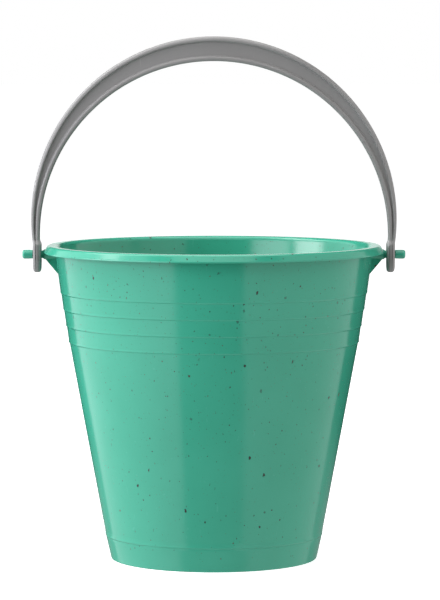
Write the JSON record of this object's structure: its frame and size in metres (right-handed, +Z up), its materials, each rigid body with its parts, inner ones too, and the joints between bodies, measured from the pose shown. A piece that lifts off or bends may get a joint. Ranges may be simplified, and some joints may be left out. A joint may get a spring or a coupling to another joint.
{
  "type": "sand bucket",
  "caption": "Tapered round plastic beach bucket with stepped rings, a turned-out rim and a crescent carrying handle that swings on moulded side pins.",
  "frame": {"origin": "on the ground under the centre of the tub", "axes": "+Z up, X along the two pivot pins, Y front to back across the pins"},
  "size_m": [0.1914, 0.1698, 0.2612],
  "materials": {
    "tub_plastic": "satin green moulded plastic with small dark brown natural-fibre specks all through it",
    "handle_plastic": "satin mid-grey moulded plastic"
  },
  "bodies": {
    "tub": {"tub": "tub_plastic"},
    "handle": {"handle": "handle_plastic"}
  },
  "joints": [
    {"name": "handle_swing", "type": "hinge", "parent": "tub", "child": "handle", "pos_m": [0, 0, 0.1526], "axis": [1, 0, 0], "range_deg": [-132, 132]}
  ]
}
